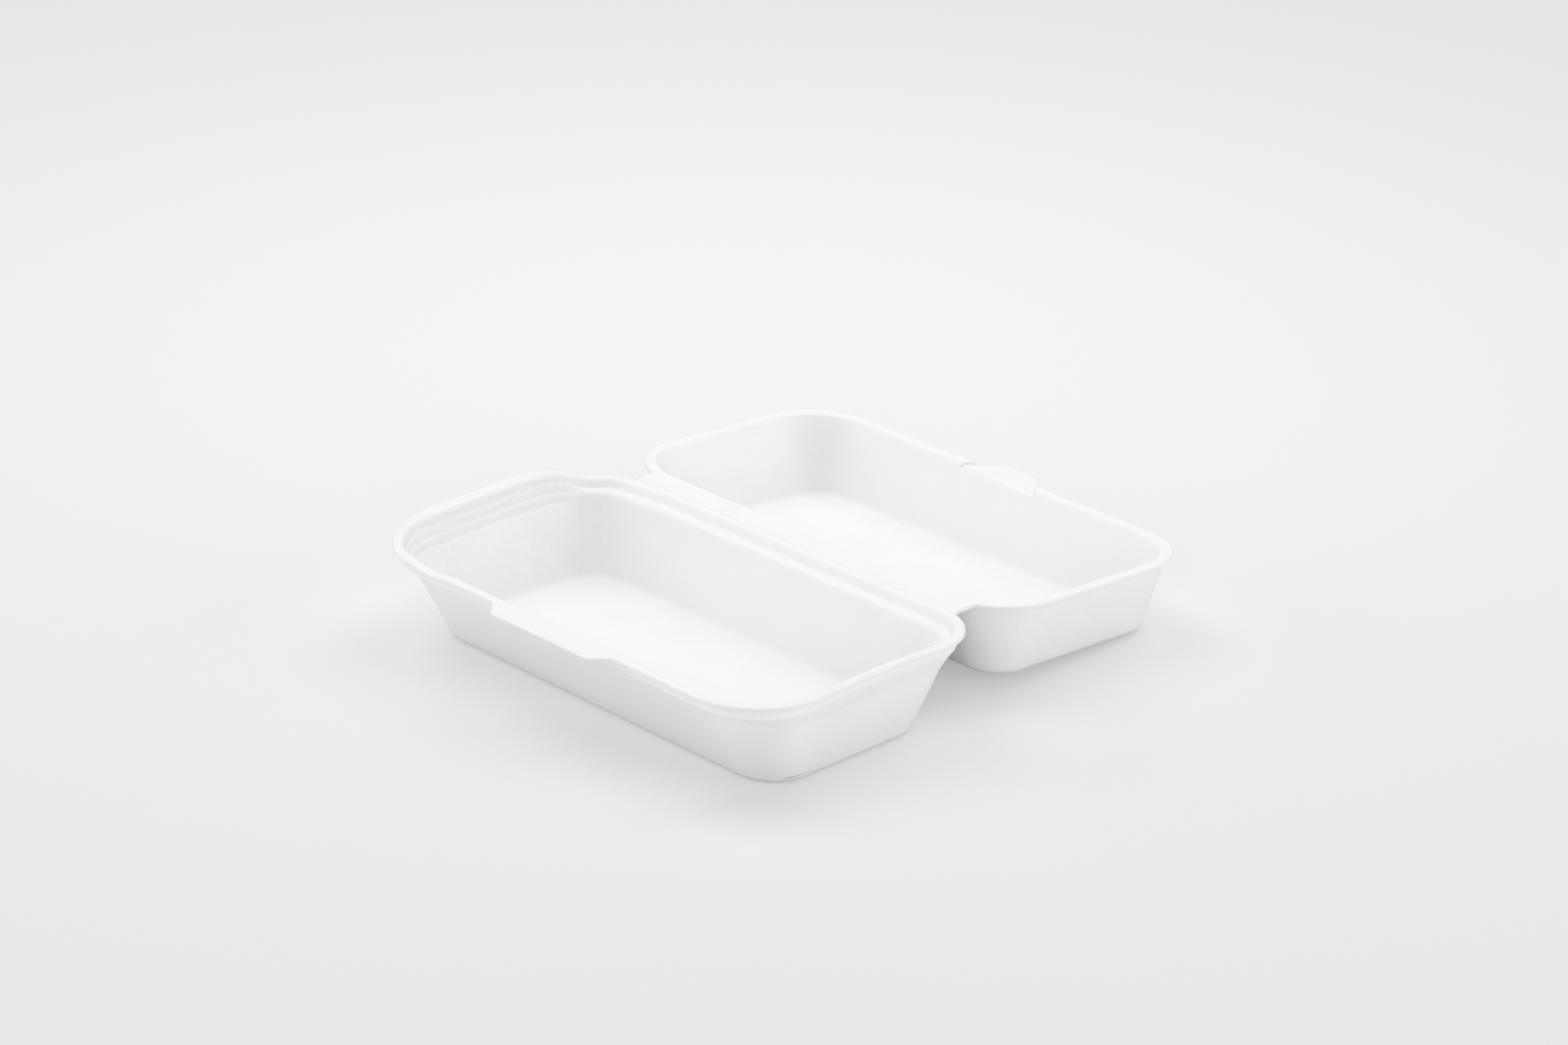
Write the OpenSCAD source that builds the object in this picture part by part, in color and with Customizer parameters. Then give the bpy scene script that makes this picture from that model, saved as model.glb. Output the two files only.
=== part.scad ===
// Foam hot dog box: a hinged clamshell moulded from one sheet, lying open.
// The deeper tray is the base. The shallower tray is the lid, which drops until its
// far bottom edge rests on the table. Lengths are in millimetres, +Z is up.
// The origin is on the table, under the centre of the base's rim.

/* [Base tray] */
// Length of the base over its rim, along the hinge
base_len = 190; // [170:1:220]
// Width of the base over its rim, from front to hinge
base_wid = 101.5; // [90:0.5:120]
// Height of the base's rim above the table
base_h = 34.5; // [32:0.5:45]
// Corner radius of the base's rim at the front
base_front_r = 28; // [25:0.5:36]
// Corner radius of the base's rim beside the hinge
base_hinge_r = 20; // [17:0.5:28]
// Run of the base's front wall from its ledge to its floor
base_front_run = 14; // [8:0.5:18]
// Run of the base's hinge-side wall
base_hinge_run = 4; // [2:0.5:10]
// Run of the base's end walls
base_end_run = 8; // [5:0.5:14]
// Corner radius of the base's floor at the front
base_front_floor_r = 12; // [8:0.5:14]
// Corner radius of the base's floor beside the hinge
base_hinge_floor_r = 15; // [9:0.5:17]
// Width of the flat lip round the base
base_lip = 3.3; // [2.8:0.1:6]
// Depth of the step inside the lip, where the lid's rim is guided
step_h = 3.2; // [2:0.1:5]
// Run of the step's sloping face
step_run = 1.2; // [0.6:0.1:2]
// Width of the ledge below the step
ledge_w = 3.6; // [2:0.1:5]
// How far the inner edge of the ledge drops at the two ends
end_drop = 3.5; // [0:0.5:6]

/* [Lid tray] */
// Length of the lid over its rim
lid_len = 181; // [165:1:188]
// Width of the lid over its rim
lid_wid = 98; // [85:0.5:98.5]
// Depth of the lid from its rim to its underside
lid_h = 29; // [22:0.5:31]
// Corner radius of the lid's rim at the free side
lid_free_r = 23; // [20:0.5:30]
// Corner radius of the lid's rim beside the hinge
lid_hinge_r = 26; // [20:0.5:32]
// Run of the lid's free-side wall from its lip to its floor
lid_free_run = 6; // [4:0.5:12]
// Run of the lid's hinge-side wall
lid_hinge_run = 12; // [6:0.5:14]
// Run of the lid's end walls
lid_end_run = 9; // [6:0.5:14]
// Corner radius of the lid's floor at the free side
lid_free_floor_r = 9; // [8:0.5:14]
// Corner radius of the lid's floor beside the hinge
lid_hinge_floor_r = 10; // [8:0.5:13]
// Width of the lip round the lid
lid_lip = 4; // [3.4:0.1:6]

/* [Sheet] */
// Thickness of the moulded walls
sheet_t = 2; // [1.4:0.1:2.6]
// Thickness of the pressed lips at their cut edge
lip_t = 1.6; // [1:0.1:2]
// Size of the fillet where the walls meet the floors
floor_fillet = 8; // [4:0.5:10]
// Size of the rounding under the trays
foot_round = 3.5; // [2:0.5:5]
// Size of the rounding at the lid's inner lip
lid_lip_round = 1.6; // [0.8:0.1:2.4]
// Size of the small roundings on lips and steps
edge_round = 0.6; // [0.3:0.1:0.7]

/* [Hinge] */
// Length of the hinge between the two notches
hinge_len = 150; // [110:1:150]
// Width of the ridge between the two score lines
ridge_w = 2.4; // [1.6:0.1:4]
// Width of the flat strip between the lid's score line and its rim
lid_strip = 4; // [1.5:0.1:5]
// Width of a score line
score_w = 1; // [0.6:0.1:1.4]
// Depth of a score line
score_d = 0.6; // [0.3:0.1:0.9]
// Thickness of the hinge band
band_t = 1.4; // [1:0.1:1.6]
// How far the band spreads at each end where it runs into the rims
band_flare = 6; // [3:0.5:8]
// Gap that parts the two halves at the fold and keeps the closed rims apart
fold_gap = 0.3; // [0.2:0.05:0.5]

/* [Lock] */
// Length of the lock shelf where it leaves the base's front lip
shelf_root = 58; // [50:1:80]
// Length of the lock shelf at its free edge
shelf_tip = 46; // [40:0.5:56]
// How far the lock shelf stands out from the lip
shelf_out = 5.8; // [4:0.1:10]
// Length of the catch bead on the lip behind the shelf
bead_len = 34; // [20:1:36]
// Height of the catch bead above the lip
bead_h = 0.9; // [0.5:0.1:1.2]
// Width of the lid's tongue at its root
tongue_root = 37; // [36.5:0.5:50]
// Width of the lid's tongue at its tip
tongue_tip = 15; // [12:0.5:30]
// Length of the tongue from the inner edge of the lip
tongue_len = 14; // [12:0.5:20]
// Thickness of the tongue
tongue_t = 1.5; // [1:0.1:2]
// How far the tongue lies below the lid's rim
tongue_drop = 1.3; // [1.25:0.05:2]
// Droop of the tongue in degrees
tongue_droop = 4; // [0:0.5:10]
// Width of the slits that free the tongue from the lip
slit_w = 0.8; // [0.4:0.1:1.5]
// Rounding of the corners of the shelf and the tongue
tab_round = 2; // [1:0.5:4]

/* [Hidden] */

// Facets in each quarter turn of a tray's corner, and in each rounding of its section
corner_facets = 10;
fillet_facets = 5;
edge_facets = 2;
// Overlap that makes joined shapes one solid, and overshoot of a cut
join = 1;
over = 5;

// The ledge or lip that a tray's wall starts from, measured in from the rim's edge
base_wall_in = base_lip + step_run + ledge_w;
lid_wall_in = lid_lip;
ledge_z = base_h - step_h;

// The fold line, and the rim of the lid beside it
fold_y = base_wid / 2 + ridge_w / 2;
fold_z = base_h + fold_gap / 2;
lid_y = fold_y + ridge_w / 2 + lid_strip;
lid_free_y = lid_y + lid_wid;
lid_floor_z = base_h - lid_h;

// The edge of the lid's flat underside that touches the table, and the tilt this gives
foot_in = lid_wall_in - sheet_t + foot_round;
touch_free = lid_free_y - lid_free_run - foot_in - fold_y;
touch_hinge = lid_y + lid_hinge_run + foot_in - fold_y;
touch_y = lid_h < base_h ? touch_free : touch_hinge;
touch_d = fold_z - lid_floor_z;
lid_tilt = asin(fold_z / norm([touch_y, touch_d])) - atan2(touch_d, touch_y);

// A tray's plan: length, width, runs of end, free and hinge walls, rim radii (free, hinge),
// floor radii (free, hinge), and how far in from the rim its wall starts
base_plan = [base_len, base_wid, base_end_run, base_front_run, base_hinge_run,
             base_front_r, base_hinge_r, base_front_floor_r, base_hinge_floor_r, base_wall_in];
lid_plan = [lid_len, lid_wid, lid_end_run, lid_free_run, lid_hinge_run,
            lid_free_r, lid_hinge_r, lid_free_floor_r, lid_hinge_floor_r, lid_wall_in];

// A section point is [share of the wall's run, distance in from the rim's edge, height,
// drop at the tray's ends].
base_section = soft([
    [1, base_wall_in + floor_fillet, sheet_t, 0],
    [1, base_wall_in, sheet_t, 0],
    [0, base_wall_in, ledge_z, end_drop],
    [0, base_lip + step_run, ledge_z, 0],
    [0, base_lip, base_h, 0],
    [0, 0, base_h, 0],
    [0, 0, base_h - lip_t, 0],
    [0, base_lip + step_run - sheet_t, base_h - lip_t, 0],
    [0, base_lip + step_run - sheet_t, ledge_z - sheet_t, 0],
    [0, base_wall_in - sheet_t, ledge_z - sheet_t, end_drop],
    [1, base_wall_in - sheet_t, 0, 0],
    [1, base_wall_in - sheet_t + foot_round, 0, 0]],
    [0, floor_fillet, edge_round * 2, edge_round, edge_round, edge_round, edge_round,
     edge_round, edge_round, edge_round, foot_round, 0]);

lid_section = soft([
    [1, lid_wall_in + floor_fillet, sheet_t, 0],
    [1, lid_wall_in, sheet_t, 0],
    [0, lid_wall_in, lid_h, 0],
    [0, 0, lid_h, 0],
    [0, 0, lid_h - lip_t, 0],
    [0, lid_wall_in - sheet_t, lid_h - lip_t, 0],
    [1, lid_wall_in - sheet_t, 0, 0],
    [1, lid_wall_in - sheet_t + foot_round, 0, 0]],
    [0, floor_fillet, lid_lip_round, edge_round, edge_round, edge_round, foot_round, 0]);

// A path with each corner replaced by a curve that starts and ends at the given cut from it.
function soft(path, cuts) =
    [for (i = [0:len(path) - 1])
        each cuts[i] == 0 ? [path[i]] : bend(path[i - 1], path[i], path[i + 1], cuts[i])];

function bend(a, b, c, cut) =
    let (p = toward(b, a, cut), q = toward(b, c, cut), n = cut > edge_facets ? fillet_facets : edge_facets)
    [for (j = [0:n]) let (t = j / n) p * (1 - t) * (1 - t) + b * 2 * t * (1 - t) + q * t * t];

function toward(b, a, cut) = b + (a - b) * min(1, cut / norm(a - b));

function mix(a, b, t) = a + (b - a) * t;

// One ring of a tray: a rounded rectangle for one section point, free side at -Y.
function ring(plan, s) =
    let (x = plan[0] / 2 - s[1] - s[0] * plan[2],
         y0 = -plan[1] / 2 + s[1] + s[0] * plan[3],
         y1 = plan[1] / 2 - s[1] - s[0] * plan[4],
         rf = max(edge_round, mix(plan[5], plan[7] + plan[9], s[0]) - s[1]),
         rh = max(edge_round, mix(plan[6], plan[8] + plan[9], s[0]) - s[1]),
         corners = [[x - rh, y1 - rh, rh], [rh - x, y1 - rh, rh], [rf - x, y0 + rf, rf], [x - rf, y0 + rf, rf]])
    [for (q = [0:3], i = [0:corner_facets])
        let (c = corners[q], a = 90 * (q + i / corner_facets))
        [c[0] + c[2] * cos(a), c[1] + c[2] * sin(a), s[2] - s[3] * cos(a) * cos(a)]];

// A tray lofted through the rings of its section, from its floor over its rim to its underside.
module tray(plan, section) {
    n = 4 * (corner_facets + 1);
    last = len(section) - 1;
    floor_face = [for (j = [n - 1:-1:0]) j];
    foot_face = [for (j = [0:n - 1]) last * n + j];
    sides = [for (i = [0:last - 1], j = [0:n - 1], upper = [true, false])
        let (k = (j + 1) % n, a = i * n, b = (i + 1) * n)
        upper ? [a + j, a + k, b + k] : [a + j, b + k, b + j]];
    polyhedron(points = [for (s = section) each ring(plan, s)],
               faces = concat([floor_face, foot_face], sides),
               convexity = 6);
}

// A flat tab from y0 to y1, with its two free corners rounded.
module tab(root, tip, y0, y1) {
    polygon(soft([[root / 2, y0], [tip / 2, y1], [-tip / 2, y1], [-root / 2, y0]],
                 [0, tab_round, tab_round, 0]));
}

// A score line along the hinge, pressed into the top of the band at y.
module score(y) {
    translate([-base_len / 2, y, base_h])
        rotate([90, 0, 90])
            linear_extrude(base_len)
                polygon([[-score_w / 2, 0.1], [score_w / 2, 0.1], [0, -score_d]]);
}

// The outline along the middle of a tray's lip, as a flat shape.
module lip_middle(plan, lip) {
    polygon([for (p = ring(plan, [0, lip / 2, 0, 0])) [p[0], p[1]]]);
}

// Half of the hinge band, from the fold into a rim, with curved notches at its ends.
// The child is the outline inside which the rim's own lip takes over.
module band(rim_y) {
    side = sign(rim_y - fold_y);
    end = hinge_len / 2;
    near = fold_y + side * fold_gap / 2;
    deep = rim_y + side * band_flare;
    translate([0, 0, base_h - band_t])
        linear_extrude(band_t)
            difference() {
                polygon(soft([[end, near], [end, rim_y], [end + band_flare, deep],
                              [-end - band_flare, deep], [-end, rim_y], [-end, near]],
                             [0, band_flare, 0, 0, band_flare, 0]));
                children();
            }
}

// The low bead on the lip behind the shelf that the tongue snaps over.
module bead() {
    y0 = -base_wid / 2 + edge_round;
    width = base_lip - 2 * edge_round;
    foot = base_h - lip_t / 2;
    rise = base_h + bead_h - foot;
    intersection() {
        translate([0, y0, foot])
            rotate([90, 0, 0])
                mirror([0, 0, 1])
                    linear_extrude(width)
                        polygon([[-bead_len / 2, 0], [bead_len / 2, 0],
                                 [bead_len / 2 - rise, rise], [rise - bead_len / 2, rise]]);
        translate([-bead_len / 2, y0, foot])
            rotate([90, 0, 90])
                linear_extrude(bead_len)
                    polygon([[0, 0], [width, 0], [width - bead_h / 2, rise], [bead_h / 2, rise]]);
    }
}

module base_tray() {
    color("white")
        difference() {
            union() {
                tray(base_plan, base_section);
                translate([0, 0, base_h - lip_t])
                    linear_extrude(lip_t)
                        tab(shelf_root, shelf_tip, join - base_wid / 2, -base_wid / 2 - shelf_out);
                bead();
                band(base_wid / 2)
                    lip_middle(base_plan, base_lip);
            }
            score(fold_y - ridge_w / 2);
        }
}

// The tongue, a flap of the free-side lip that hangs a little below the rim.
module tongue() {
    translate([0, lid_free_y - lid_lip, base_h - tongue_drop])
        rotate([-tongue_droop, 0, 0])
            translate([0, 0, -tongue_t])
                linear_extrude(tongue_t)
                    tab(tongue_root, tongue_tip, 0, tongue_len);
}

// The cut that lowers the lip for the tongue and frees its sides, from height z up.
module tongue_cut(y, z) {
    grow = 2 * slit_w;
    inner = lid_free_y - lid_lip;
    intersection() {
        translate([0, 0, z])
            linear_extrude(over + base_h - z)
                tab(tongue_root + grow + over * (tongue_root - tongue_tip) / tongue_len,
                    tongue_tip + grow, inner - over, inner + tongue_len);
        translate([-lid_len / 2, y, z])
            cube([lid_len, lid_wid, lid_h + over]);
    }
}

// The lid before it drops: its rim level with the base's rim.
module level_lid() {
    wall_out = lid_free_y - lid_lip + sheet_t;
    difference() {
        union() {
            translate([0, lid_y + lid_wid / 2, lid_floor_z])
                rotate([0, 0, 180])
                    tray(lid_plan, lid_section);
            band(lid_y)
                translate([0, lid_y + lid_wid / 2])
                    rotate(180)
                        lip_middle(lid_plan, lid_lip);
        }
        score(fold_y + ridge_w / 2);
        tongue_cut(lid_free_y - lid_lip - over, base_h - tongue_drop);
        tongue_cut(wall_out, base_h - 2 * lip_t - tongue_drop);
    }
    tongue();
}

module lid_tray() {
    color("white")
        translate([0, fold_y, fold_z])
            rotate([-lid_tilt, 0, 0])
                translate([0, -fold_y, -fold_z])
                    level_lid();
}

base_tray();
lid_tray();
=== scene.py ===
import math
from collections import namedtuple

import bmesh
import bpy
import numpy as np
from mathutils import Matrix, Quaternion, Vector, noise


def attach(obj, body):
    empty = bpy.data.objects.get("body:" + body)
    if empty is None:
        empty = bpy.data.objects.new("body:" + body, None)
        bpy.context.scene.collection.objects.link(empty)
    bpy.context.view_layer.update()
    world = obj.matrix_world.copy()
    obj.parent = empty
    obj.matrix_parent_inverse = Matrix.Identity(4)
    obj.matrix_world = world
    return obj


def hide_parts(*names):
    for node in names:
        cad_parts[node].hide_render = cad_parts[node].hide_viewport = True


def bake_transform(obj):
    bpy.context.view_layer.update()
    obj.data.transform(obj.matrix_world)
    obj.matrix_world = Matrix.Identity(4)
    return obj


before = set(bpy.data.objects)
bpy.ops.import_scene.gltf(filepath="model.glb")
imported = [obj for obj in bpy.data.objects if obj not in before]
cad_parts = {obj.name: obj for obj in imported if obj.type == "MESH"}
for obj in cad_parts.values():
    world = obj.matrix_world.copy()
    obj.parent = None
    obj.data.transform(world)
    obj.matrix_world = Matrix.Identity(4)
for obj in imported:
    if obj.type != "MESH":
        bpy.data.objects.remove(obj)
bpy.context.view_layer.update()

# Lengths of the box are in millimetres until a mesh is made of them.
MM = 0.001

# Base tray. Its ledge falls at the two ends in soft stairs.
BASE_LEN = 190.0
BASE_WID = 101.5
BASE_H = 34.5
BASE_LIP = 3.3
STEP_H = 3.2
STEP_RUN = 1.2
STEP_ROUND = 1.0
LEDGE_W = 3.6
LEDGE_FALL = 1.1
END_DROP = 6.2
END_STAIRS = 2
END_STAIR_DEPTH = 0.7
BASE_WALL_IN = BASE_LIP + STEP_RUN + LEDGE_W
LEDGE_Z = BASE_H - STEP_H

# Lid tray
LID_LEN = 181.0
LID_WID = 98.0
LID_H = 29.0
LID_LIP = 4.0
LID_LIP_ROUND = 1.3

# Sheet
SHEET_T = 2.0
LIP_T = 1.6
FLOOR_FILLET = 1.8
FLOOR_IN = 1.3
FOOT_ROUND = 3.5
BASE_FOOT_ROUND = 2.4
EDGE_ROUND = 0.6

# Hinge: two score lines with a ridge between them, and a flat strip. Its ends are curved notches.
HINGE_LEN = 149.0
HINGE_X = 3.4
RIDGE_W = 2.4
LID_STRIP = 4.0
SCORE_W = 0.7
SCORE_D = 0.4
NOTCH_Y = BASE_WID / 2 + 4.5
NOTCH_CURVE = 0.075
FOLD_GAP = 0.3
FOLD_Y = BASE_WID / 2 + RIDGE_W / 2
FOLD_Z = BASE_H + FOLD_GAP / 2
BEND_HALF = 1.2
LID_Y = FOLD_Y + RIDGE_W / 2 + LID_STRIP
LID_FREE_Y = LID_Y + LID_WID

# Band over the hinge, which reaches onto both lips and stands a hair above them
BAND_T = 1.3
BAND_Y0 = BASE_WID / 2 - 1.2
BAND_Y1 = LID_Y + 1.7
BAND_LIFT = 0.03
BAND_EDGE = 0.3

# Lock, which sits a little to the right of the middle: shelf and bead of the base
LOCK_X = 2.2
SHELF_ROOT = 58.0
SHELF_TIP = 46.0
SHELF_OUT = 5.8
SHELF_SOFT = 1.0
BEAD_LEN = 27.4
BEAD_X = 1.6
BEAD_H = 0.9
BEAD_FADE_LEFT = 5.0
BEAD_FADE_RIGHT = 2.5
BEAD_IN = 0.2
BEAD_RISE = 1.2
BEAD_DEPTH = 1.4

# Tongue of the lid, and the cuts that free it
TONGUE_X = 1.4
TONGUE_ROOT = 33.5
TONGUE_TIP = 14.0
TONGUE_LEN = 14.0
TONGUE_T = 1.5
TONGUE_DROP = 1.15
TONGUE_TWIST = 0.033
TONGUE_IN = 0.2
TONGUE_DROOP = math.radians(4)
TONGUE_ROUND = 1.3
TONGUE_TIP_ROUND = 0.5
TONGUE_CORNER = 2.0
TONGUE_EDGE = 0.4
TONGUE_BEVEL = 0.3 * TONGUE_EDGE
LIP_INNER_Y = LID_FREE_Y - LID_LIP
SLIT_W = 0.4
CUT_PAST = 2.0
CUT_TOP = BASE_H + 5.0
LIP_CUT_BACK = 3.0
LIP_CUT_UNDER = 0.8

# The lip's outer edge, which the shelf and the wide trim at the left end pull out
OUTER_W = 1.2
LEVEL_SLACK = 0.1
TRIM_LEFT = 2.0
TRIM_FREE_Y = -38.0
TRIM_HINGE_Y = 36.0
TRIM_FADE = 16.0

# Warps of the base's rim: x and y of the middle, reach, rise
BASE_WARPS = [
    (-95, 10, 62, 1.6),
    (-82, 51, 34, -2.4),
    (-92, 45, 16, -2.0),
    (95, 5, 45, 1.2),
    (-58, -51, 14, -1.0)]
WARP_POWER = 1.5

# Slow waves of the sheet, which fade at the hinge. One noise is read at three shifts for x, y and z.
WAVE = 0.14
WAVE_LEN = 26.0
WAVE_SHIFTS = (0.0, 40.37, 80.71)
WAVE_HINGE_GAP = 3.0
WAVE_FADE = 10.0
BASE_WAVE_SEED = 3
LID_WAVE_SEED = 11

# Crack at the base's foot: places along it and half its width there, and the edge that it follows
CRACK = [(-24.2, 0.04), (-23.5, 0.24), (-22.3, 0.3), (-20.5, 0.24), (-18, 0.14), (-14.5, 0.03)]
CRACK_X = 81.6
CRACK_Z = 2.3
CRACK_DEEP = 1.7
CRACK_OUT = 1.0
CRACK_ARC_Y = -16.6
CRACK_ARC_R = 14.0

# Where the foam's grain is open, and where shade is painted into the foam's colour, as shares for the
# material
BASE_GRAIN = 0.15
LID_GRAIN = 0.12
LID_END_GRAIN = 0.3
FLAT_GRAIN = 0.2
BASE_END_X = 62.0
LID_END_X = 60.0
END_FADE = 22.0
WALL_FADE = 4.0
SHELF_GRAIN_REACH = SHELF_ROOT / 1.6
END_STREAKS = 3
STREAK_LEAST = 0.35
STREAK_FADE = 0.1
STREAK_HINGE_Y = 40.0
STREAK_HINGE_FADE = 8.0
# Painted shade that darkens the trays' undersides, and the height up to which it reaches
UNDERSIDE_PAINTED_SHADE = 1.7
UNDERSIDE_H = 1.5

# A tray's plan: its size, the runs of its end, free and hinge walls, the radii of its rim's and its
# floor's corners on the free and the hinge side, and how far in from the rim its wall starts
Plan = namedtuple("Plan", ["length", "width", "end_run", "free_run", "hinge_run",
                           "rim_free", "rim_hinge", "floor_free", "floor_hinge", "wall_in"])
BASE_PLAN = Plan(BASE_LEN, BASE_WID, 8.0, 14.0, 4.0, 28.0, 20.0, 12.0, 15.0, BASE_WALL_IN)
LID_PLAN = Plan(LID_LEN, LID_WID, 9.0, 6.0, 12.0, 23.0, 26.0, 9.0, 10.0, LID_LIP)
RIM = (0, 0, 0, 0)

# The tilt that brings the lid's far bottom edge down to the table
FOOT_IN = LID_LIP - SHEET_T + FOOT_ROUND
TOUCH_Y = LID_FREE_Y - LID_PLAN.free_run - FOOT_IN - FOLD_Y
TOUCH_D = FOLD_Z - (BASE_H - LID_H)
LID_TILT = math.asin(FOLD_Z / math.hypot(TOUCH_Y, TOUCH_D)) - math.atan2(TOUCH_D, TOUCH_Y)

# Points along a tray's corners, long sides and ends, and in the roundings of its section
CORNER_STEPS = 20
LONG_STEPS = 180
END_STEPS = 50
FILLET_STEPS = 8
EDGE_STEPS = 3
FLOOR_RINGS = 10
FLOOR_MIDDLE_SHARE = 0.06
SLOPE_STEPS = 16
BASE_LONGEST_STEP = 0.8
LID_LONGEST_STEP = 1.0

# How sharply the fall of the ends stops at the hinge's corners
HINGE_CORNER_STOP = 4

# Points of the tongue, its cuts and the band
TONGUE_ROOT_POINTS = 7
TONGUE_LONG_POINTS = 26
TONGUE_TIP_POINTS = 6
TONGUE_WIDE_POINTS = 31
CUT_POINTS = 30
BAND_LONG_POINTS = 161
BAND_WIDE_POINTS = 61

# Points closer than this are one point, in millimetres, and edges shorter than this go, in metres
SAME_POINT = 1e-6
SHORTEST_EDGE = 1e-6


def smoothstep(t):
    t = np.clip(t, 0, 1)
    return t * t * (3 - 2 * t)


def bump(t):
    """A smooth hump that is 1 at t = 0 and 0 from t = 1."""
    return 1 - smoothstep(np.abs(t))


def soft(path, cuts):
    """A path with each corner replaced by a curve that starts and ends at the given cut from it."""
    path = [np.array(p, float) for p in path]
    out = []
    for i, (p, cut) in enumerate(zip(path, cuts)):
        if cut == 0:
            out.append(p)
            continue
        a = p + (path[i - 1] - p) * min(1, cut / np.linalg.norm(path[i - 1] - p))
        b = p + (path[i + 1] - p) * min(1, cut / np.linalg.norm(path[i + 1] - p))
        steps = FILLET_STEPS if cut > 2 * EDGE_ROUND else EDGE_STEPS
        for t in np.linspace(0, 1, steps + 1):
            out.append(a * (1 - t) ** 2 + p * 2 * t * (1 - t) + b * t * t)
    return [p for i, p in enumerate(out) if i == 0 or np.abs(p - out[i - 1]).max() > SAME_POINT]


def divide(path, longest):
    """The path with points added so that no step in distance or height is longer than asked."""
    out = [path[0]]
    for a, b in zip(path, path[1:]):
        n = max(1, math.ceil(np.abs(b - a)[1:3].max() / longest))
        out.extend(a + (b - a) * t for t in np.arange(1, n + 1) / n)
    return out


def ring(plan, point):
    """One ring of a tray, free side at -Y: a rounded rectangle for one section point.
    A section point is a share of the walls' runs, a distance in, a height and its fall at the ends."""
    share, inset, height, drop = point
    x = plan.length / 2 - inset - share * plan.end_run
    y0 = -plan.width / 2 + inset + share * plan.free_run
    y1 = plan.width / 2 - inset - share * plan.hinge_run
    free_change = plan.floor_free + plan.wall_in - plan.rim_free
    hinge_change = plan.floor_hinge + plan.wall_in - plan.rim_hinge
    rf = max(EDGE_ROUND, plan.rim_free + free_change * share - inset)
    rh = max(EDGE_ROUND, plan.rim_hinge + hinge_change * share - inset)
    corners = [
        (x - rh, y1 - rh, rh),
        (rh - x, y1 - rh, rh),
        (rf - x, y0 + rf, rf),
        (x - rf, y0 + rf, rf)]
    turns = np.linspace(0, 90, CORNER_STEPS + 1)
    arcs = []
    for q, (cx, cy, r) in enumerate(corners):
        a = np.radians(90 * q + turns)
        if q < 2:
            end = smoothstep(HINGE_CORNER_STOP * np.abs(np.cos(a)) - (HINGE_CORNER_STOP - 1))
        else:
            end = np.cos(a) ** 2
        arcs.append(np.c_[cx + r * np.cos(a), cy + r * np.sin(a), height - drop * end])
    out = []
    for q in range(4):
        steps = LONG_STEPS if q % 2 == 0 else END_STEPS
        t = np.linspace(0, 1, steps + 1)[1:-1, None]
        out.append(arcs[q])
        out.append(arcs[q][-1] * (1 - t) + arcs[(q + 1) % 4][0] * t)
    return np.vstack(out)


def tray(plan, section):
    """Rings of a tray from the middle of its floor over its rim to the middle of its underside.
    Returns the points of each ring, and each ring's distance in from the rim and height."""
    rings = [ring(plan, p) for p in section]
    shrink = np.linspace(FLOOR_MIDDLE_SHARE, 1, FLOOR_RINGS, endpoint=False)
    middle = np.array([0, (rings[0][:, 1].max() + rings[0][:, 1].min()) / 2, 0])
    flat = np.array([1, 1, 0])
    inner = [middle + (rings[0] - middle) * (flat * s + (1 - flat)) for s in shrink]
    under = [middle + (rings[-1] - middle) * (flat * s + (1 - flat)) for s in shrink[::-1]]
    labels = np.array([section[0]] * FLOOR_RINGS + list(section) + [section[-1]] * FLOOR_RINGS)
    return np.array(inner + rings + under), labels[:, 1:2], labels[:, 2:3]


def make_mesh(name, points, faces):
    mesh = bpy.data.meshes.new(name)
    mesh.from_pydata((np.asarray(points) * MM).tolist(), [], faces)
    mesh.validate()
    mesh.polygons.foreach_set("use_smooth", [True] * len(mesh.polygons))
    mesh.update()
    piece = bpy.data.objects.new(name, mesh)
    bpy.context.scene.collection.objects.link(piece)
    return piece


def rings_mesh(name, points):
    """A closed mesh through rings of points."""
    count, n = points.shape[:2]
    i, j = np.meshgrid(np.arange(count - 1), np.arange(n), indexing="ij")
    k = (j + 1) % n
    quads = np.stack([i * n + j, i * n + k, (i + 1) * n + k, (i + 1) * n + j], -1).reshape(-1, 4)
    caps = [list(range(n - 1, -1, -1)), list(range((count - 1) * n, count * n))]
    return make_mesh(name, points.reshape(-1, 3), quads.tolist() + caps)


def tilted(points, share=1.0):
    """Points of the level lid, turned down about the fold by a share of the lid's tilt."""
    a = -LID_TILT * np.asarray(share, float)
    c, s = np.cos(a), np.sin(a)
    y = points[..., 1] - FOLD_Y
    z = points[..., 2] - FOLD_Z
    out = points.copy()
    out[..., 1] = FOLD_Y + y * c - z * s
    out[..., 2] = FOLD_Z + y * s + z * c
    return out


def base_warp(x, y):
    """How far the base's rim stands above its level at a place on the rim."""
    return sum(rise * bump(np.hypot(x - px, y - py) / reach) for px, py, reach, rise in BASE_WARPS)


def wavy(points, width, height, seed):
    """Points moved by slow waves that grow with their height and fade at the hinge side."""
    flat = points.reshape(-1, 3)
    shifts = [Vector((seed, shift, 0)) for shift in WAVE_SHIFTS]
    moves = [[noise.noise(Vector(p) / WAVE_LEN + shift) for shift in shifts] for p in flat.tolist()]
    from_hinge = smoothstep((width / 2 - WAVE_HINGE_GAP - flat[:, 1:2]) / WAVE_FADE)
    grow = smoothstep(flat[:, 2:3] / height) * from_hinge
    return (flat + np.array(moves) * WAVE * grow).reshape(points.shape)


def shelf_reach(x):
    """How far the shelf reaches out at x, with a sharp left corner and a rounded right corner."""
    taper = (SHELF_ROOT - SHELF_TIP) / 2
    slope = SHELF_OUT / taper
    sharp = np.clip((SHELF_ROOT / 2 - np.abs(x)) * slope, 0, SHELF_OUT)
    rounded = SHELF_OUT * smoothstep((SHELF_ROOT / 2 + SHELF_SOFT - x) / (taper + 2 * SHELF_SOFT))
    return np.where(x < 0, sharp, rounded)


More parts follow.
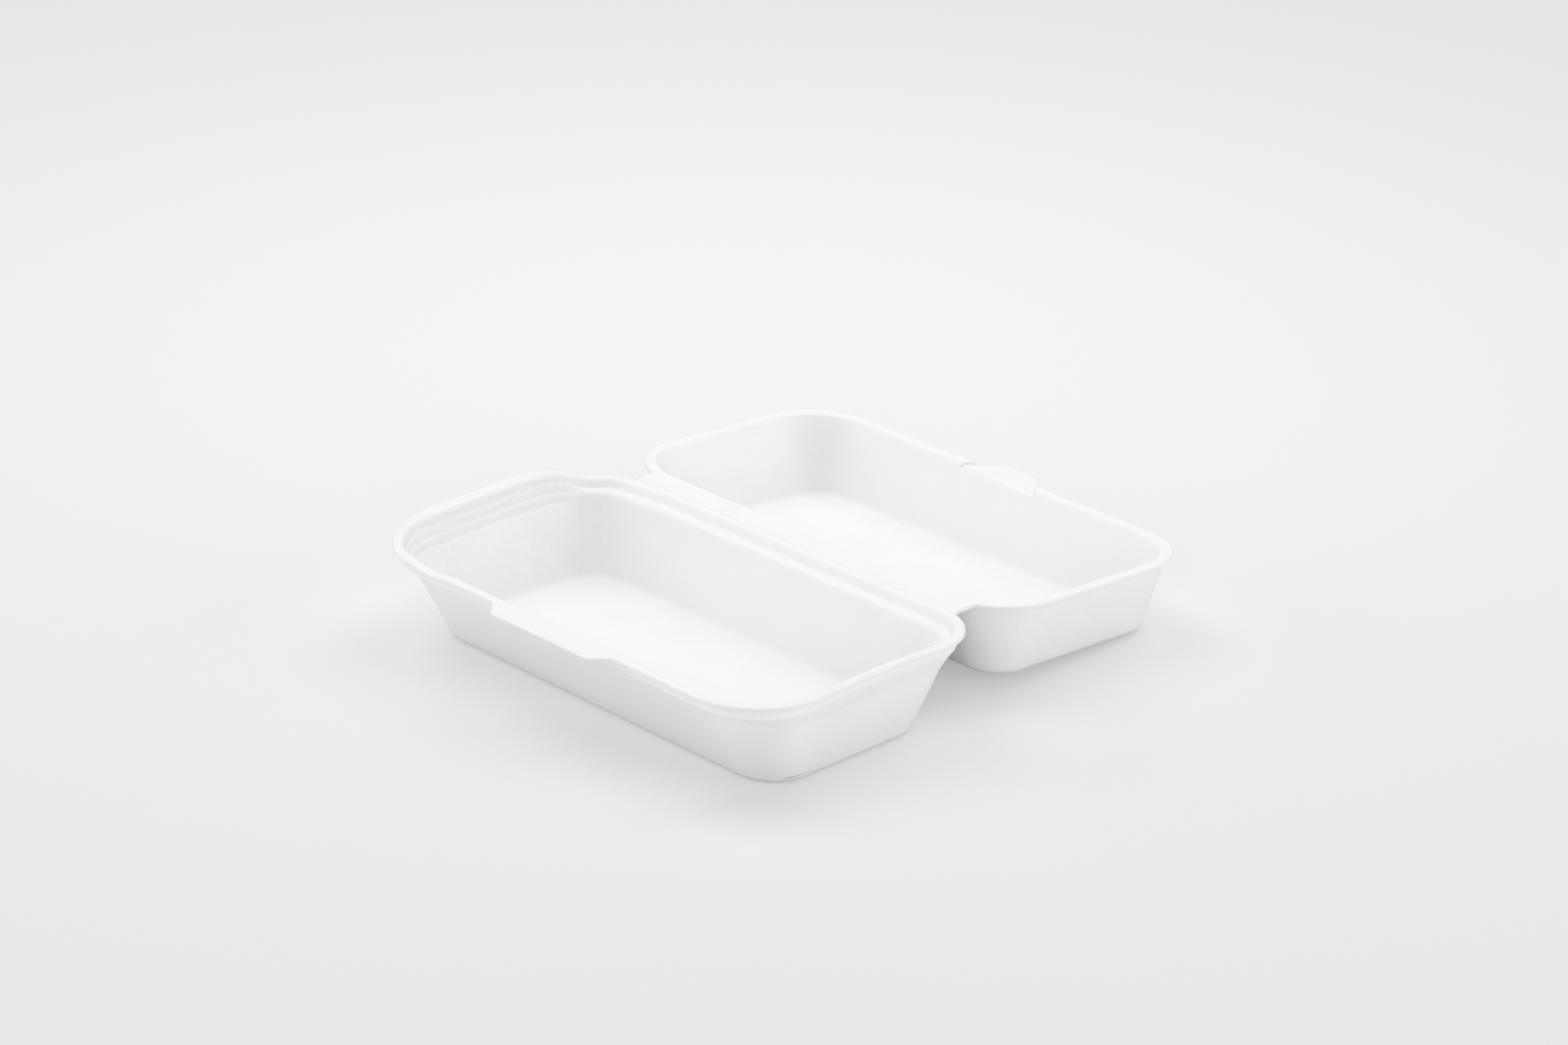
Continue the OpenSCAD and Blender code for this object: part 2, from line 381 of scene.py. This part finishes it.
def underside(level):
    """How much shade is painted on a tray by its height above the table: only its underside is
    darkened, so that it stays below white when the closed lid turns it up to the lamps.
    """
    return UNDERSIDE_PAINTED_SHADE * smoothstep(1 - level / UNDERSIDE_H)


def store(piece, name, values):
    """Stores a value at each point, for the foam's material."""
    layer = piece.data.attributes.new(name, "FLOAT", "POINT")
    layer.data.foreach_set("value", np.asarray(values, np.float32).ravel())


def cut_out(piece, cutter):
    """Cuts the cutter's shape out of a piece."""
    cutter.data.polygons.foreach_set("use_smooth", [False] * len(cutter.data.polygons))
    cut = piece.modifiers.new("cut", "BOOLEAN")
    cut.object = cutter
    cut.solver = "EXACT"
    bpy.context.view_layer.update()
    evaluated = piece.evaluated_get(bpy.context.evaluated_depsgraph_get())
    result = bpy.data.meshes.new_from_object(evaluated)
    piece.modifiers.clear()
    faces = bmesh.new()
    faces.from_mesh(result)
    bmesh.ops.dissolve_degenerate(faces, dist=SHORTEST_EDGE, edges=faces.edges)
    faces.to_mesh(result)
    faces.free()
    piece.data = result
    bpy.data.objects.remove(cutter)


# Base tray: its ledge curves over into the wall, and at the ends it falls in soft stairs

inner_path = soft([
    (1, BASE_WALL_IN + FLOOR_IN + FLOOR_FILLET, SHEET_T, 0),
    (1, BASE_WALL_IN + FLOOR_IN, SHEET_T, 0),
    (0, BASE_WALL_IN, LEDGE_Z - LEDGE_FALL, END_DROP - LEDGE_FALL)],
    [0, FLOOR_FILLET, 0])
ledge_path = []
for t in np.linspace(1, 0, SLOPE_STEPS + 1)[1:-1]:
    fall = LEDGE_FALL * max(0, 2 * t - 1) ** 2
    turns = 2 * np.pi * END_STAIRS
    stairs = END_DROP * (t - END_STAIR_DEPTH * np.sin(turns * t) / turns)
    ledge_in = BASE_LIP + STEP_RUN + LEDGE_W * t
    ledge_path.append(np.array((0, ledge_in, LEDGE_Z - fall, stairs - fall)))
rim_path = soft([
    (0, BASE_LIP + STEP_RUN + LEDGE_W / SLOPE_STEPS, LEDGE_Z, 0),
    (0, BASE_LIP + STEP_RUN, LEDGE_Z, 0),
    (0, BASE_LIP, BASE_H, 0),
    (0, 0, BASE_H, 0),
    (0, 0, BASE_H - LIP_T, 0),
    (0, BASE_LIP + STEP_RUN - SHEET_T, BASE_H - LIP_T, 0),
    (0, BASE_LIP + STEP_RUN - SHEET_T, LEDGE_Z - SHEET_T, 0),
    (0, BASE_WALL_IN - SHEET_T, LEDGE_Z - SHEET_T, END_DROP),
    (1, BASE_WALL_IN - SHEET_T, 0, 0),
    (1, BASE_WALL_IN - SHEET_T + BASE_FOOT_ROUND, 0, 0)],
    [0, STEP_ROUND, STEP_ROUND, EDGE_ROUND, EDGE_ROUND, EDGE_ROUND, EDGE_ROUND, EDGE_ROUND,
     BASE_FOOT_ROUND, 0])[1:]
base_section = divide(inner_path + ledge_path + rim_path, BASE_LONGEST_STEP)
base_points, inset, level = tray(BASE_PLAN, base_section)
rim_x, rim_y = ring(BASE_PLAN, RIM)[:, :2].T
front = rim_y < 0

# The lock's shelf and bead, and the wide lip at the left end. x, y and z are views into base_points.
x, y, z = base_points[..., 0], base_points[..., 1], base_points[..., 2]
outer = np.clip(1 - inset / OUTER_W, 0, 1) * (level > BASE_H - LIP_T - LEVEL_SLACK)
y -= front * outer * shelf_reach(x - LOCK_X)
bead_fade = np.where(x < BEAD_X, BEAD_FADE_LEFT, BEAD_FADE_RIGHT)
bead_x = smoothstep((BEAD_LEN / 2 - np.abs(x - BEAD_X)) / bead_fade + 0.5)
bead_in = smoothstep((inset - BEAD_IN) / BEAD_RISE) * (inset < BASE_LIP + STEP_RUN)
z += front * BEAD_H * bead_x * bead_in * smoothstep((level - BASE_H + BEAD_DEPTH) / BEAD_DEPTH)
left_end = (rim_x < 0) * smoothstep((TRIM_HINGE_Y - rim_y) / TRIM_FADE)
left_end = left_end * smoothstep((rim_y - TRIM_FREE_Y) / TRIM_FADE)
x -= TRIM_LEFT * outer * left_end

# Warps and waves
z += base_warp(rim_x, rim_y) * smoothstep(level / BASE_H) ** WARP_POWER
base_points = wavy(base_points, BASE_WID, BASE_H, BASE_WAVE_SEED)
base_shell = rings_mesh("base_shell", base_points)

# Open grain on the inner walls of the ends and on the shelf
on_ends = smoothstep((np.abs(rim_x) - BASE_END_X) / END_FADE)
on_shelf = front * (inset < BASE_LIP) * bump((x - LOCK_X) / SHELF_GRAIN_REACH)
below_rim = level < BASE_H - LEVEL_SLACK
inside = np.arange(len(base_points))[:, None] < np.argmin(inset + BASE_LEN * below_rim)
on_wall = inside * smoothstep((level - SHEET_T) / WALL_FADE)
store(base_shell, "grain", np.maximum(BASE_GRAIN + (1 - BASE_GRAIN) * on_ends * on_wall, on_shelf))

# Painted shade: dark streaks across the sloping ledges of the ends, for the shade of their ripples,
# and a darker underside
along = np.clip((inset - BASE_LIP) / (BASE_WALL_IN - BASE_LIP), 0, 1)
on_slope = (along > 0) * (along < 1) * (level > LEDGE_Z - LEDGE_FALL - LEVEL_SLACK)
on_slope = on_slope * smoothstep(along / STREAK_FADE)
on_ends = on_ends * smoothstep((STREAK_HINGE_Y - rim_y) / STREAK_HINGE_FADE)
streaks = STREAK_LEAST + (1 - STREAK_LEAST) * np.sin(np.pi * along * END_STREAKS) ** 2
store(base_shell, "pressed", np.maximum(on_ends * inside * on_slope * streaks, underside(level)))

# A fine crack along the foot of the right end
crack = []
for along_y, half in CRACK:
    arc = np.clip(CRACK_ARC_Y - along_y, 0, CRACK_ARC_R)
    foot_x = CRACK_X - CRACK_ARC_R + math.sqrt(CRACK_ARC_R ** 2 - arc ** 2)
    crack.append([
        (foot_x - CRACK_DEEP, along_y, CRACK_Z),
        (foot_x, along_y, CRACK_Z + half),
        (foot_x + CRACK_OUT, along_y, CRACK_Z),
        (foot_x, along_y, CRACK_Z - half)])
cut_out(base_shell, rings_mesh("crack_cut", np.array(crack)))

# Lid tray, built as the base is and then turned round so that its free side is at +Y

lid_path = soft([
    (1, LID_LIP + FLOOR_IN + FLOOR_FILLET, SHEET_T, 0),
    (1, LID_LIP + FLOOR_IN, SHEET_T, 0),
    (0, LID_LIP, LID_H, 0),
    (0, 0, LID_H, 0),
    (0, 0, LID_H - LIP_T, 0),
    (0, LID_LIP - SHEET_T, LID_H - LIP_T, 0),
    (1, LID_LIP - SHEET_T, 0, 0),
    (1, LID_LIP - SHEET_T + FOOT_ROUND, 0, 0)],
    [0, FLOOR_FILLET, LID_LIP_ROUND, EDGE_ROUND, EDGE_ROUND, EDGE_ROUND, FOOT_ROUND, 0])
lid_points, inset, level = tray(LID_PLAN, divide(lid_path, LID_LONGEST_STEP))
lid_points = wavy(lid_points, LID_WID, LID_H, LID_WAVE_SEED) * [-1, -1, 1]
lid_points = lid_points + [0, LID_Y + LID_WID / 2, BASE_H - LID_H]
lid_shell = rings_mesh("lid_shell", tilted(lid_points))
# Painted shade on the lid's underside
store(lid_shell, "pressed", np.repeat(underside(level), lid_points.shape[1], 1))
on_ends = smoothstep((np.abs(ring(LID_PLAN, RIM)[:, 0]) - LID_END_X) / END_FADE)
on_wall = smoothstep((level - SHEET_T) / WALL_FADE)
store(lid_shell, "grain", LID_GRAIN + LID_END_GRAIN * on_ends * on_wall)


# Tongue of the lid

def tongue_half(y, grow=0.0):
    """Half the tongue's width at y out from the lip's inner edge."""
    half = (TONGUE_ROOT - (TONGUE_ROOT - TONGUE_TIP) * y / TONGUE_LEN) / 2
    past = np.clip((y - TONGUE_LEN + TONGUE_CORNER) / TONGUE_CORNER, 0, 1)
    return half + grow - TONGUE_CORNER * (1 - np.sqrt(1 - past * past))


def tongue_loop(y):
    """The tongue's outline across at y: a rounded root and tip, and bevelled upper edges."""
    top = -TONGUE_ROUND + math.sqrt(max(0, TONGUE_ROUND ** 2 - max(0, TONGUE_ROUND - y) ** 2))
    tip = max(0, y - TONGUE_LEN + TONGUE_TIP_ROUND)
    top -= TONGUE_TIP_ROUND - math.sqrt(max(0, TONGUE_TIP_ROUND ** 2 - tip * tip))
    half = tongue_half(y)
    across = np.linspace(-half + TONGUE_EDGE, half - TONGUE_EDGE, TONGUE_WIDE_POINTS)
    loop = [(u, y, top) for u in across]
    loop += [
        (half - TONGUE_BEVEL, y, top - TONGUE_BEVEL),
        (half, y, top - TONGUE_EDGE),
        (half, y, -TONGUE_T)]
    loop += [(u, y, -TONGUE_T) for u in across[::-1]]
    loop += [
        (-half, y, -TONGUE_T),
        (-half, y, top - TONGUE_EDGE),
        (-half + TONGUE_BEVEL, y, top - TONGUE_BEVEL)]
    return loop


def tongue_mesh():
    quarter = np.pi / 2
    tip_start = TONGUE_LEN - TONGUE_TIP_ROUND
    near = TONGUE_ROUND * (1 - np.cos(np.linspace(0, quarter, TONGUE_ROOT_POINTS)))
    far = TONGUE_LEN - TONGUE_TIP_ROUND * (1 - np.sin(np.linspace(0, quarter, TONGUE_TIP_POINTS)))
    between = np.linspace(TONGUE_ROUND, tip_start, TONGUE_LONG_POINTS)[1:-1]
    points = np.array([tongue_loop(y) for y in np.r_[near, between, far]])
    across, out, up = points[..., 0], points[..., 1], points[..., 2]
    c, s = math.cos(TONGUE_DROOP), math.sin(TONGUE_DROOP)
    placed = points.copy()
    placed[..., 0] += TONGUE_X
    placed[..., 1] = LIP_INNER_Y - TONGUE_IN + out * c + up * s
    placed[..., 2] = BASE_H - TONGUE_DROP - TONGUE_TWIST * across - out * s + up * c
    return rings_mesh("tongue", tilted(placed))


def tongue_cutter(name, start, low):
    """A block in the outline of the tongue and its slits, from a height up."""
    places = np.linspace(start, TONGUE_LEN + CUT_PAST, CUT_POINTS)
    right = [(TONGUE_X + tongue_half(y, SLIT_W), LIP_INNER_Y + y) for y in places]
    left = [(2 * TONGUE_X - x, y) for x, y in right[::-1]]
    points = np.array([[(x, y, z) for x, y in right + left] for z in (low, CUT_TOP)])
    return rings_mesh(name, tilted(points))


tongue = tongue_mesh()
store(tongue, "grain", np.full(len(tongue.data.vertices), FLAT_GRAIN))
cut_out(lid_shell, tongue_cutter("lip_cut", -LIP_CUT_BACK, BASE_H - TONGUE_DROP - LIP_CUT_UNDER))
cut_out(lid_shell, tongue_cutter("slit_cut", SHEET_T, BASE_H - 2 * LIP_T - TONGUE_DROP))


# Hinge band

def score(y):
    """Depth of the two score lines at y."""
    near = bump((y - FOLD_Y + RIDGE_W / 2) / SCORE_W)
    far = bump((y - FOLD_Y - RIDGE_W / 2) / SCORE_W)
    return SCORE_D * (near + far)


def rim_back(plan, x):
    """How far a tray's rim stands back from its hinge side's line at x."""
    radius = plan.rim_hinge
    past = np.clip(np.abs(x) - plan.length / 2 + radius, 0, radius)
    return radius - np.sqrt(radius ** 2 - past ** 2)


def band_row(y, height):
    """One row of the band along the hinge. It follows the rims' corners where it reaches onto them."""
    half = HINGE_LEN / 2 + NOTCH_CURVE * (y - NOTCH_Y) ** 2
    x = HINGE_X + np.linspace(-1, 1, BAND_LONG_POINTS) * half
    near = np.clip((FOLD_Y - RIDGE_W - y) / (FOLD_Y - RIDGE_W - BAND_Y0), 0, 1)
    far = np.clip((y - FOLD_Y - RIDGE_W) / (BAND_Y1 - FOLD_Y - RIDGE_W), 0, 1)
    y = y - near * rim_back(BASE_PLAN, x) + far * rim_back(LID_PLAN, x)
    return np.c_[x, y, np.full(x.shape, BASE_H + height)]


band_rows = [band_row(BAND_Y0 - BAND_EDGE, -BAND_EDGE)]
for row_y in np.linspace(BAND_Y0, BAND_Y1, BAND_WIDE_POINTS):
    band_rows.append(band_row(row_y, BAND_LIFT - score(row_y)))
band_rows.append(band_row(BAND_Y1 + BAND_EDGE, -BAND_EDGE))
band_top = np.array(band_rows)
band_low = band_top[::-1].copy()
band_low[..., 2] = BASE_H - BAND_T
band_points = np.concatenate([band_top, band_low]).transpose(1, 0, 2)
turn = smoothstep((band_points[..., 1] - (FOLD_Y - BEND_HALF)) / (2 * BEND_HALF))
band_points[..., 2] += base_warp(band_points[..., 0], BASE_WID / 2) * (1 - turn)
hinge_band = rings_mesh("hinge_band", tilted(band_points, turn))
store(hinge_band, "grain", np.full(len(hinge_band.data.vertices), FLAT_GRAIN))

# Foam: white, matt, with fine cells. Sizes of its textures are in cells per metre.

FOAM_DARK = (0.92, 0.92, 0.918, 1)
FOAM_LIGHT = (0.955, 0.955, 0.954, 1)
FOAM_ROUGHNESS = 0.55
FOAM_SPECULAR = 0.3
CELL_SCALE = 1700
GRAIN_SCALE = 1300
GRAIN_DETAIL = 3
MOTTLE_SCALE = 60
RELIEF_STRENGTH = 0.45
RELIEF_DISTANCE = 0.0003
PIT_SHADE = 0.025
PIT_DARK_AT = 0.35
PIT_CLEAR_AT = 0.65
# How much the painted shade darkens the foam where it is full
PAINTED_SHADE_STRENGTH = 0.06

# Sockets of a colour mix: share, first colour, second colour, and the result
MIX_SHARE = 0
MIX_A = 6
MIX_B = 7
MIX_RESULT = 2


def color_mix(nodes):
    node = nodes.new("ShaderNodeMix")
    node.data_type = "RGBA"
    return node


def math_node(nodes, operation):
    node = nodes.new("ShaderNodeMath")
    node.operation = operation
    return node


def foam_material():
    mat = bpy.data.materials.new("foam")
    mat.use_nodes = True
    nodes, links = mat.node_tree.nodes, mat.node_tree.links
    shader = nodes["Principled BSDF"]
    shader.inputs["Roughness"].default_value = FOAM_ROUGHNESS
    shader.inputs["Specular IOR Level"].default_value = FOAM_SPECULAR
    where = nodes.new("ShaderNodeTexCoord")
    cells = nodes.new("ShaderNodeTexVoronoi")
    cells.feature = "SMOOTH_F1"
    cells.inputs["Scale"].default_value = CELL_SCALE
    grain = nodes.new("ShaderNodeTexNoise")
    grain.inputs["Scale"].default_value = GRAIN_SCALE
    grain.inputs["Detail"].default_value = GRAIN_DETAIL
    mottle = nodes.new("ShaderNodeTexNoise")
    mottle.inputs["Scale"].default_value = MOTTLE_SCALE
    for texture in (cells, grain, mottle):
        links.new(where.outputs["Object"], texture.inputs["Vector"])
    strength = nodes.new("ShaderNodeAttribute")
    strength.attribute_name = "grain"
    # Where shade is painted into the colour
    pressed = nodes.new("ShaderNodeAttribute")
    pressed.attribute_name = "pressed"

    # Colour: a slow mottle, darkened in the pits of the grain, and by painted shade on the ledges of
    # the ends and on the undersides
    tone = color_mix(nodes)
    tone.inputs[MIX_A].default_value = FOAM_DARK
    tone.inputs[MIX_B].default_value = FOAM_LIGHT
    pits = nodes.new("ShaderNodeMapRange")
    pits.inputs["From Min"].default_value = PIT_DARK_AT
    pits.inputs["From Max"].default_value = PIT_CLEAR_AT
    pits.inputs["To Min"].default_value = PIT_SHADE
    pits.inputs["To Max"].default_value = 0
    pit_shade = math_node(nodes, "MULTIPLY")
    pits_and_painted_shade = math_node(nodes, "MULTIPLY_ADD")
    pits_and_painted_shade.inputs[1].default_value = PAINTED_SHADE_STRENGTH
    color = color_mix(nodes)
    color.inputs[MIX_B].default_value = (0, 0, 0, 1)
    links.new(mottle.outputs["Fac"], tone.inputs[MIX_SHARE])
    links.new(grain.outputs["Fac"], pits.inputs["Value"])
    links.new(pits.outputs[0], pit_shade.inputs[0])
    links.new(strength.outputs["Fac"], pit_shade.inputs[1])
    links.new(pressed.outputs["Fac"], pits_and_painted_shade.inputs[0])
    links.new(pit_shade.outputs[0], pits_and_painted_shade.inputs[2])
    links.new(pits_and_painted_shade.outputs[0], color.inputs[MIX_SHARE])
    links.new(tone.outputs[MIX_RESULT], color.inputs[MIX_A])
    links.new(color.outputs[MIX_RESULT], shader.inputs["Base Color"])

    # Relief: cells and grain, as strong as the surface's own grain
    height = math_node(nodes, "ADD")
    scaled = math_node(nodes, "MULTIPLY")
    relief = nodes.new("ShaderNodeBump")
    relief.inputs["Strength"].default_value = RELIEF_STRENGTH
    relief.inputs["Distance"].default_value = RELIEF_DISTANCE
    links.new(cells.outputs["Distance"], height.inputs[0])
    links.new(grain.outputs["Fac"], height.inputs[1])
    links.new(height.outputs[0], scaled.inputs[0])
    links.new(strength.outputs["Fac"], scaled.inputs[1])
    links.new(scaled.outputs[0], relief.inputs["Height"])
    links.new(relief.outputs["Normal"], shader.inputs["Normal"])
    return mat


foam = foam_material()
for piece in (base_shell, lid_shell, tongue, hinge_band):
    piece.data.materials.clear()
    piece.data.materials.append(foam)
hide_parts("base_tray")
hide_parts("lid_tray")
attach(base_shell, "base")
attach(lid_shell, "lid")
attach(tongue, "lid")
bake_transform(hinge_band)

# Floor, light and camera, in metres

# Painted light: the paper is lighter near the box and greyer further out, a pool of light painted on
# it
FLOOR_NEAR = (0.9, 0.9, 0.9, 1)
FLOOR_FAR = (0.82, 0.82, 0.82, 1)
FLOOR_MIDDLE = (-0.19, 0.23, 0)
FLOOR_REACH = 0.6
FLOOR_GLOW = 0.42
FLOOR_ROUGHNESS = 0.9
FLOOR_SPECULAR = 0.1
FLOOR_SIZE = 6
FLOOR_Z = -0.0001


def floor_material():
    """Pale paper with a painted pool of light: lighter near the box and greyer further out. A share of
    what the camera sees of it is plain colour, which lightens the shadow.
    """
    mat = bpy.data.materials.new("floor_paper_with_painted_light")
    mat.use_nodes = True
    nodes, links = mat.node_tree.nodes, mat.node_tree.links
    shader = nodes["Principled BSDF"]
    shader.inputs["Roughness"].default_value = FLOOR_ROUGHNESS
    shader.inputs["Specular IOR Level"].default_value = FLOOR_SPECULAR
    where = nodes.new("ShaderNodeTexCoord")
    away = nodes.new("ShaderNodeVectorMath")
    away.operation = "DISTANCE"
    away.inputs[1].default_value = FLOOR_MIDDLE
    reach = nodes.new("ShaderNodeMapRange")
    reach.interpolation_type = "SMOOTHSTEP"
    reach.inputs["From Max"].default_value = FLOOR_REACH
    # The paper's colour with the painted pool of light
    paper_with_painted_light = color_mix(nodes)
    paper_with_painted_light.inputs[MIX_A].default_value = FLOOR_NEAR
    paper_with_painted_light.inputs[MIX_B].default_value = FLOOR_FAR
    plain = nodes.new("ShaderNodeEmission")
    rays = nodes.new("ShaderNodeLightPath")
    glow = math_node(nodes, "MULTIPLY")
    glow.inputs[1].default_value = FLOOR_GLOW
    mix = nodes.new("ShaderNodeMixShader")
    links.new(where.outputs["Object"], away.inputs[0])
    links.new(away.outputs["Value"], reach.inputs["Value"])
    links.new(reach.outputs[0], paper_with_painted_light.inputs[MIX_SHARE])
    links.new(paper_with_painted_light.outputs[MIX_RESULT], shader.inputs["Base Color"])
    links.new(paper_with_painted_light.outputs[MIX_RESULT], plain.inputs["Color"])
    links.new(rays.outputs["Is Camera Ray"], glow.inputs[0])
    links.new(glow.outputs[0], mix.inputs[0])
    links.new(shader.outputs[0], mix.inputs[1])
    links.new(plain.outputs[0], mix.inputs[2])
    links.new(mix.outputs[0], nodes["Material Output"].inputs["Surface"])
    return mat


bpy.ops.mesh.primitive_plane_add(size=FLOOR_SIZE, location=(0, 0, FLOOR_Z))
floor = bpy.context.object
floor.name = "floor"
floor.data.materials.append(floor_material())

WORLD_LIGHT = 0.12

scene = bpy.context.scene
scene.view_settings.view_transform = "Standard"
world = bpy.data.worlds.new("studio")
scene.world = world
world.use_nodes = True
background = world.node_tree.nodes["Background"]
background.inputs["Color"].default_value = (1, 1, 1, 1)
background.inputs["Strength"].default_value = WORLD_LIGHT

BOX_MIDDLE = Vector((0, FOLD_Y * MM, 0))
SOFTBOX_SIZE = 1.1
SOFTBOX_DISTANCE = 1.7

# Name, azimuth and elevation in degrees, and power in watts
SOFTBOXES = [
    ("zenith", 0, 88, 3.2),
    ("overhead_right", 170, 60, 9.2),
    ("overhead_left", 280, 60, 10.2),
    ("left_fill", 318, 14, 8.8),
    ("right_fill", 122, 14, 9.0),
    ("front_fill", 46, 25, 8.4),
    ("back_fill", 226, 14, 4.0)]


def around(azimuth, elevation, distance, target):
    """The point seen from the target at an azimuth and elevation in degrees."""
    a, e = math.radians(azimuth), math.radians(elevation)
    way = Vector((math.sin(a) * math.cos(e), -math.cos(a) * math.cos(e), math.sin(e)))
    return target + distance * way


def softbox(name, azimuth, elevation, power):
    light = bpy.data.lights.new(name, "AREA")
    light.size = SOFTBOX_SIZE
    light.energy = power
    lamp = bpy.data.objects.new(name, light)
    lamp.location = around(azimuth, elevation, SOFTBOX_DISTANCE, BOX_MIDDLE)
    lamp.rotation_euler = (BOX_MIDDLE - lamp.location).to_track_quat("-Z", "Y").to_euler()
    scene.collection.objects.link(lamp)


for name, azimuth, elevation, power in SOFTBOXES:
    softbox(name, azimuth, elevation, power)

CAMERA_AZ = 46.22
CAMERA_EL = 23.46
CAMERA_ROLL = math.radians(0.45)
CAMERA_DISTANCE = 1.54378
CAMERA_TARGET = Vector((-0.06679, 0.11529, 0))
CAMERA_FOCUS_PX = 6631.43
IMAGE_WIDTH_PX = 2352
SENSOR_MM = 36.0

camera = bpy.data.objects.new("camera", bpy.data.cameras.new("camera"))
camera.data.sensor_width = SENSOR_MM
camera.data.lens = CAMERA_FOCUS_PX / IMAGE_WIDTH_PX * SENSOR_MM
camera.location = around(CAMERA_AZ, CAMERA_EL, CAMERA_DISTANCE, CAMERA_TARGET)
camera.rotation_mode = "QUATERNION"
aim = (CAMERA_TARGET - camera.location).to_track_quat("-Z", "Y")
camera.rotation_quaternion = aim @ Quaternion((0, 0, 1), CAMERA_ROLL)
scene.collection.objects.link(camera)
scene.camera = camera
